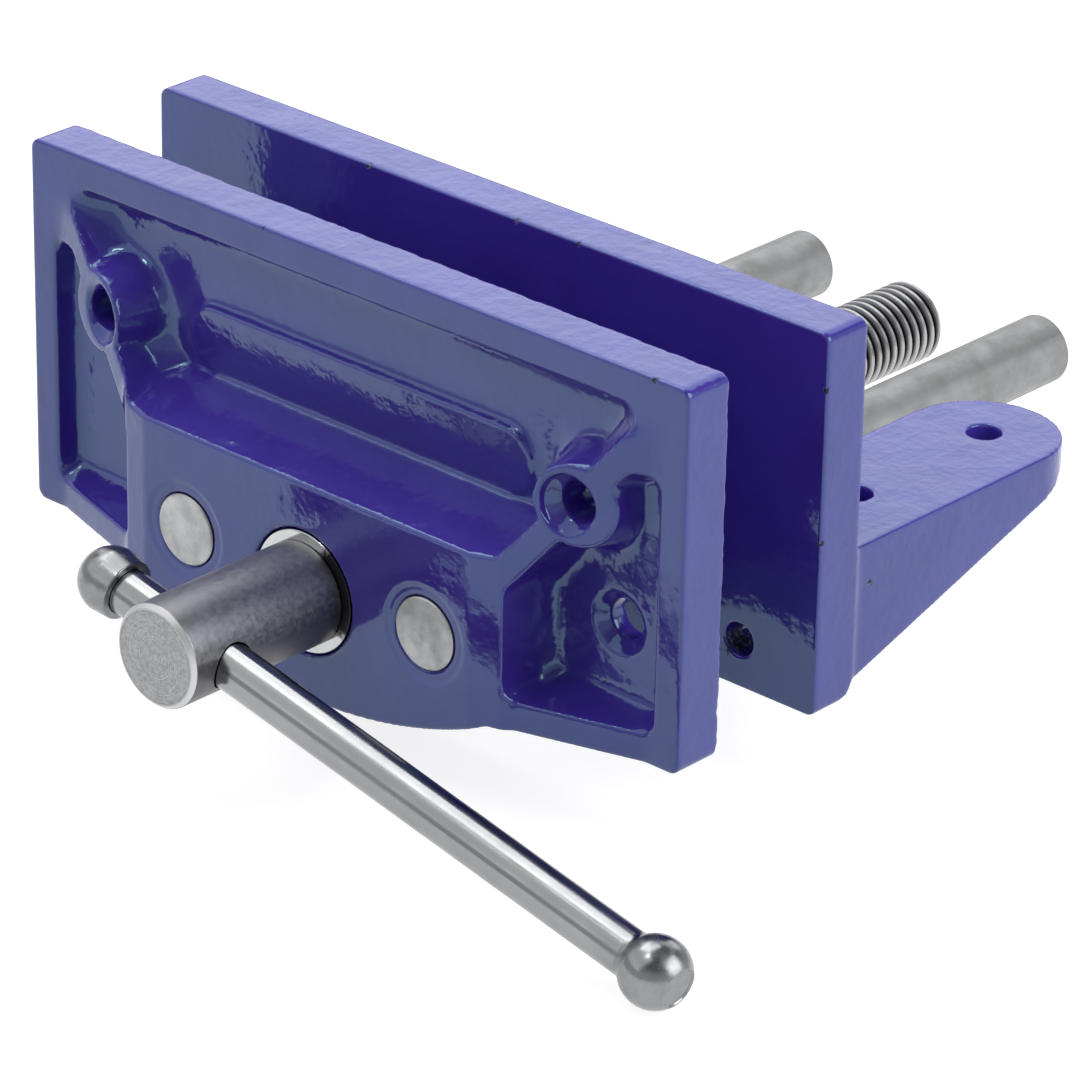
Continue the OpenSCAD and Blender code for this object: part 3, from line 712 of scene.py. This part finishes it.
def guide_bar(side, name):
    low, high = bar_low.y, bar_high.y
    front, rear = BAR_FRONT_CHAMFER, BAR_REAR_CHAMFER
    r = bar_r
    profile = [(low, 0, 0), (low, r - front, 0.1 * MM), (low + front, r, 0.1 * MM),
               (high - rear, r, 0.2 * MM), (high, r - rear, 0.2 * MM), (high, 0, 0)]
    place = along(Vector((0, 1, 0)), Vector((side * bar_x, 0, bar_z)))
    obj = new_object("steel_" + name, turned_mesh(name, rounded(profile), place), bar_steel)
    paint_faces(obj, bar_end_steel, lambda centre, normal: normal.y < -0.5)
    finish_piece(obj, "front_jaw", "bar_steel", name)


guide_bar(-1, "guide_bar_left")
guide_bar(1, "guide_bar_right")


def thrust_washer():
    low, high = washer_low.y, washer_high.y
    outer = (washer_high.x - washer_low.x) / 2
    corner = 0.3 * MM
    ring = rounded([(low, WASHER_HOLE_R, 0), (low, outer, corner), (high, outer, corner),
                    (high, WASHER_HOLE_R, 0)])
    place = along(Vector((0, 1, 0)), Vector((0, 0, screw_z)))
    points = []
    faces = []
    count = len(ring)
    for k in range(SEGMENTS):
        points += [place(station, radius, 2 * math.pi * k / SEGMENTS) for station, radius in ring]
        n = (k + 1) % SEGMENTS
        faces += [(k * count + j, k * count + (j + 1) % count, n * count + (j + 1) % count, n * count + j)
                  for j in range(count)]
    obj = new_object("steel_thrust_washer", mesh_from("thrust_washer", points, faces), washer_finish)
    finish_piece(obj, "front_jaw", "bar_steel", "thrust_washer")


thrust_washer()

# One turn of thread: share of the pitch, and depth below the crest as a share of the thread's depth
THREAD_FORM = [(0.00, 1.0), (0.17, 0.08), (0.22, 0.0), (0.48, 0.0), (0.53, 0.08), (0.70, 1.0), (0.85, 1.0)]


def thread_depth_at(share):
    """Depth of the thread at a share of the pitch, between the form's points."""
    form = THREAD_FORM + [(1.0, 1.0)]
    share %= 1.0
    for (s0, d0), (s1, d1) in zip(form, form[1:]):
        if share <= s1:
            return d0 + (d1 - d0) * (share - s0) / (s1 - s0)
    return 1.0


def main_screw():
    """Head, journal and right-hand thread in one closed skin. Columns run along the axis."""
    front, end = screw_low.y, screw_high.y
    shoulder = washer_low.y - RUN_FIT
    journal_end = front_back_y - JOURNAL_SINK
    start = journal_end - THREAD_RUNOUT * THREAD_PITCH - THREAD_PITCH
    depth = THREAD_R - THREAD_ROOT_R
    end_r = THREAD_ROOT_R - 0.4 * MM
    chamfer = HEAD_CHAMFER
    head = rounded([(front, 0, 0), (front, HEAD_R - chamfer, 0.3 * MM), (front + chamfer, HEAD_R, 0.4 * MM),
                    (shoulder, HEAD_R, 0.4 * MM), (shoulder, JOURNAL_R, 0), (journal_end, JOURNAL_R, 0)])
    form = len(THREAD_FORM)
    turns = math.ceil((end - start) / THREAD_PITCH) + 2
    segments = 64
    per_column = len(head) - 1 + form * turns

    def thread_point(i, k):
        share, _ = THREAD_FORM[k % form]
        y = start + THREAD_PITCH * (i / segments + k // form + share)
        y = min(max(y, journal_end), end)
        phase = (y - start) / THREAD_PITCH - i / segments
        radius = THREAD_R - depth * thread_depth_at(phase)
        return y, min(radius, end_r + end - y)

    work = bmesh.new()
    tip = work.verts.new((0, front, screw_z))
    heel = work.verts.new((0, end, screw_z))
    columns = []
    for i in range(segments):
        a = 2 * math.pi * i / segments
        stations = [tuple(p) for p in head[1:]] + [thread_point(i, k) for k in range(form * turns)]
        c, s = math.cos(a), math.sin(a)
        columns.append([work.verts.new((r * c, y, screw_z - r * s)) for y, r in stations])
    plain = len(head) - 1
    for i in range(segments):
        this, other = columns[i], columns[(i + 1) % segments]
        if i == segments - 1:
            other = other[:plain] + other[plain + form:] + [other[-1]] * form
        work.faces.new((tip, this[0], other[0]))
        work.faces.new((heel, other[-1], this[-1]))
        for k in range(per_column - 1):
            corners = list(dict.fromkeys((this[k], this[k + 1], other[k + 1], other[k])))
            if len(corners) > 2:
                work.faces.new(corners)
    bmesh.ops.remove_doubles(work, verts=work.verts, dist=0.002 * MM)
    bmesh.ops.dissolve_degenerate(work, edges=work.edges, dist=0.001 * MM)
    bmesh.ops.recalc_face_normals(work, faces=work.faces)
    mesh = bpy.data.meshes.new("main_screw")
    work.to_mesh(mesh)
    work.free()
    obj = new_object("steel_main_screw", mesh, head_finish)
    cut_cross_hole(obj)
    paint_faces(obj, thread_finish, lambda centre, normal: centre.y > journal_end - 0.05 * MM)
    paint_faces(obj, head_end_finish, lambda centre, normal: centre.y < front + 0.9 * chamfer)
    paint_faces(obj, bar_end_steel, lambda centre, normal: centre.y > end - 0.05 * MM and normal.y > 0.9)
    finish_piece(obj, "screw", "dark_steel", "main_screw")


def cut_cross_hole(obj):
    reach = 2 * HEAD_R
    place = along(handle_axis, handle_centre)
    profile = [(-reach, 0), (-reach, CROSS_HOLE_R), (reach, CROSS_HOLE_R), (reach, 0)]
    drill = new_object("drill", turned_mesh("drill", profile, place, 64), head_finish)
    cut = obj.modifiers.new("cross_hole", "BOOLEAN")
    cut.operation = "DIFFERENCE"
    cut.solver = "EXACT"
    cut.object = drill
    apply_modifiers(obj)
    bpy.data.objects.remove(drill)


main_screw()


def handle_bar():
    """Sliding bar: a stub for the knob, the bar, a short neck and the forged ball with its flat end."""
    face = KNOB_FACE - HANDLE_NEAR - KNOB_MOUTH_DEPTH
    chamfer = 0.4 * MM
    stub = rounded([(-HANDLE_NEAR, 0, 0), (-HANDLE_NEAR, KNOB_BORE_R, 0), (face, KNOB_BORE_R, 0),
                    (face, HANDLE_R - chamfer, 0.1 * MM), (face + chamfer, HANDLE_R, 0)])
    neck_height = HANDLE_R + NECK_R
    neck_reach = math.sqrt((BALL_R + NECK_R) ** 2 - neck_height ** 2)
    meet = math.degrees(math.atan2(neck_height, neck_reach))
    neck = arc(HANDLE_FAR - neck_reach, neck_height, NECK_R, -90, -meet, 8)
    flat = math.degrees(math.acos((BALL_R - BALL_END_CUT) / BALL_R))
    ball = arc(HANDLE_FAR, 0, BALL_R, 180 - meet, flat, 16)
    end, rim = ball[-1]
    floor_r = rim - BALL_END_LIP
    tail = [Vector((end, floor_r)), Vector((end - BALL_END_SINK, floor_r - BALL_END_SINK)),
            Vector((end - BALL_END_SINK, 0))]
    profile = stub + neck + ball[1:] + tail
    mesh = turned_mesh("handle_bar", profile, along(handle_axis, handle_centre))
    obj = new_object("steel_handle_bar", mesh, bright_steel)
    ball_start = handle_centre.dot(handle_axis) + HANDLE_FAR - BALL_R
    paint_faces(obj, ball_steel, lambda centre, normal: centre.dot(handle_axis) > ball_start)
    finish_piece(obj, "handle", "bright_steel", "handle_bar")


def handle_knob():
    """Pressed ball with a shallow mouth round the bar."""
    face = KNOB_FACE - HANDLE_NEAR
    inner = KNOB_BORE_R + KNOB_BORE_GAP
    mouth = face - KNOB_MOUTH_DEPTH - KNOB_BORE_GAP
    profile = [Vector((-HANDLE_NEAR - KNOB_R, 0))] + arc(-HANDLE_NEAR, 0, KNOB_R, 174, 90, 16)
    bottom = mouth - KNOB_BORE_DEPTH
    profile += rounded([(-HANDLE_NEAR, KNOB_R, 0), (face, KNOB_FACE_R, KNOB_FACE_CORNER),
                        (face, KNOB_MOUTH_R, 0), (mouth, KNOB_MOUTH_R, 0), (mouth, inner, 0),
                        (bottom, inner, 0), (bottom, 0, 0)])[1:]
    mesh = turned_mesh("handle_knob", profile, along(handle_axis, handle_centre))
    obj = new_object("steel_handle_knob", mesh, ball_steel)
    finish_piece(obj, "handle", "bright_steel", "handle_knob")


handle_bar()
handle_knob()

for node, material in (("main_nut", bar_steel), ("nut_screws", dark_steel), ("guide_bar_pins", dark_steel),
                       ("retaining_washer", bar_steel), ("retaining_ring", dark_steel)):
    data = frame["nodes"][node].data
    data.materials.clear()
    data.materials.append(material)


# Floor, light and camera

FLOOR_GAP = 0.3 * MM
FLOOR_Z = cad_box[0][2] - FLOOR_GAP
FLOOR_SIZE = 8.0
FLOOR_GREY = 0.38
FLOOR_GLOW = 0.82
SKY_LOW = 0.6
SKY_HIGH = 0.2
SKY_FADE_FROM = 0.3
SKY_FADE_TO = 0.6
SKY_DIFFUSE_SHARE = 0.5


def floor():
    half = FLOOR_SIZE / 2
    corners = [(x * half, y * half, FLOOR_Z) for x, y in ((-1, -1), (1, -1), (1, 1), (-1, 1))]
    s = Shader("pale_floor")
    s.set(Roughness=0.9, Base_Color=(FLOOR_GREY, FLOOR_GREY, FLOOR_GREY, 1.0))
    rays = s.node("ShaderNodeLightPath")
    seen = s.math("MAXIMUM", rays.outputs["Is Camera Ray"], rays.outputs["Is Glossy Ray"])
    seen = s.math("MAXIMUM", seen, rays.outputs["Is Transmission Ray"])
    s.set(Emission_Color=(1, 1, 1, 1), Emission_Strength=s.math("MULTIPLY", seen, FLOOR_GLOW))
    obj = new_object("floor", mesh_from("floor", corners, [(0, 1, 2, 3)]), s.material)


def world():
    """A white studio: bright round the horizon, darker overhead."""
    made = bpy.data.worlds.new("studio")
    bpy.context.scene.world = made
    made.use_nodes = True
    nodes = made.node_tree.nodes
    links = made.node_tree.links
    place = nodes.new("ShaderNodeTexCoord")
    parts = nodes.new("ShaderNodeSeparateXYZ")
    fade = nodes.new("ShaderNodeMapRange")
    fade.interpolation_type = "SMOOTHSTEP"
    fade.inputs["From Min"].default_value = SKY_FADE_FROM
    fade.inputs["From Max"].default_value = SKY_FADE_TO
    fade.inputs["To Min"].default_value = SKY_LOW
    fade.inputs["To Max"].default_value = SKY_HIGH
    links.new(place.outputs["Generated"], parts.inputs[0])
    links.new(parts.outputs["Z"], fade.inputs["Value"])
    background = nodes["Background"]
    background.inputs["Color"].default_value = (1, 1, 1, 1)
    rays = nodes.new("ShaderNodeLightPath")
    dim = nodes.new("ShaderNodeMapRange")
    dim.inputs["To Min"].default_value = 1.0
    dim.inputs["To Max"].default_value = SKY_DIFFUSE_SHARE
    level = nodes.new("ShaderNodeMath")
    level.operation = "MULTIPLY"
    links.new(rays.outputs["Is Diffuse Ray"], dim.inputs["Value"])
    links.new(fade.outputs["Result"], level.inputs[0])
    links.new(dim.outputs["Result"], level.inputs[1])
    links.new(level.outputs[0], background.inputs["Strength"])


def look_from(azimuth, elevation):
    """The turn of a camera or lamp that looks at the vise from there."""
    turn = Matrix.Rotation(math.radians(azimuth), 4, "Z")
    return turn @ Matrix.Rotation(math.radians(90 - elevation), 4, "X")


def softbox(name, azimuth, elevation, distance, width, height, watts):
    """An area lamp that faces the vise, placed as the camera's views are."""
    data = bpy.data.lights.new(name, "AREA")
    data.shape = "RECTANGLE"
    data.size = width
    data.size_y = height
    data.energy = watts
    turn = look_from(azimuth, elevation)
    obj = link(bpy.data.objects.new(name, data))
    obj.matrix_world = Matrix.Translation(turn @ Vector((0, 0, distance))) @ turn
    obj.visible_camera = False


def camera():
    data = bpy.data.cameras.new("camera")
    data.sensor_width = SENSOR
    data.lens = VIEW_LENS
    data.clip_start = 0.05
    turn = look_from(VIEW_AZIMUTH, VIEW_ELEVATION) @ Matrix.Rotation(math.radians(VIEW_ROLL), 4, "Z")
    obj = link(bpy.data.objects.new("camera", data))
    obj.matrix_world = Matrix.Translation(VIEW_AIM + turn @ Vector((0, 0, VIEW_DISTANCE))) @ turn
    bpy.context.scene.camera = obj


# Name, azimuth and elevation in degrees, distance, width and height in metres, watts
LAMPS = (
    ("back_light", 212, 38, 1.6, 2.4, 1.2, 11.5),
    ("top_light", 258, 68, 1.4, 1.0, 0.9, 7.5),
    ("left_light", 315, 48, 1.6, 2.2, 1.8, 11),
    ("right_light", 105, 30, 1.5, 1.2, 1.0, 14),
    ("key_light", 350, 62, 1.3, 0.16, 0.16, 1.0),
)

floor()
world()
for lamp in LAMPS:
    softbox(*lamp)
camera()

bpy.context.scene.view_settings.view_transform = "Standard"
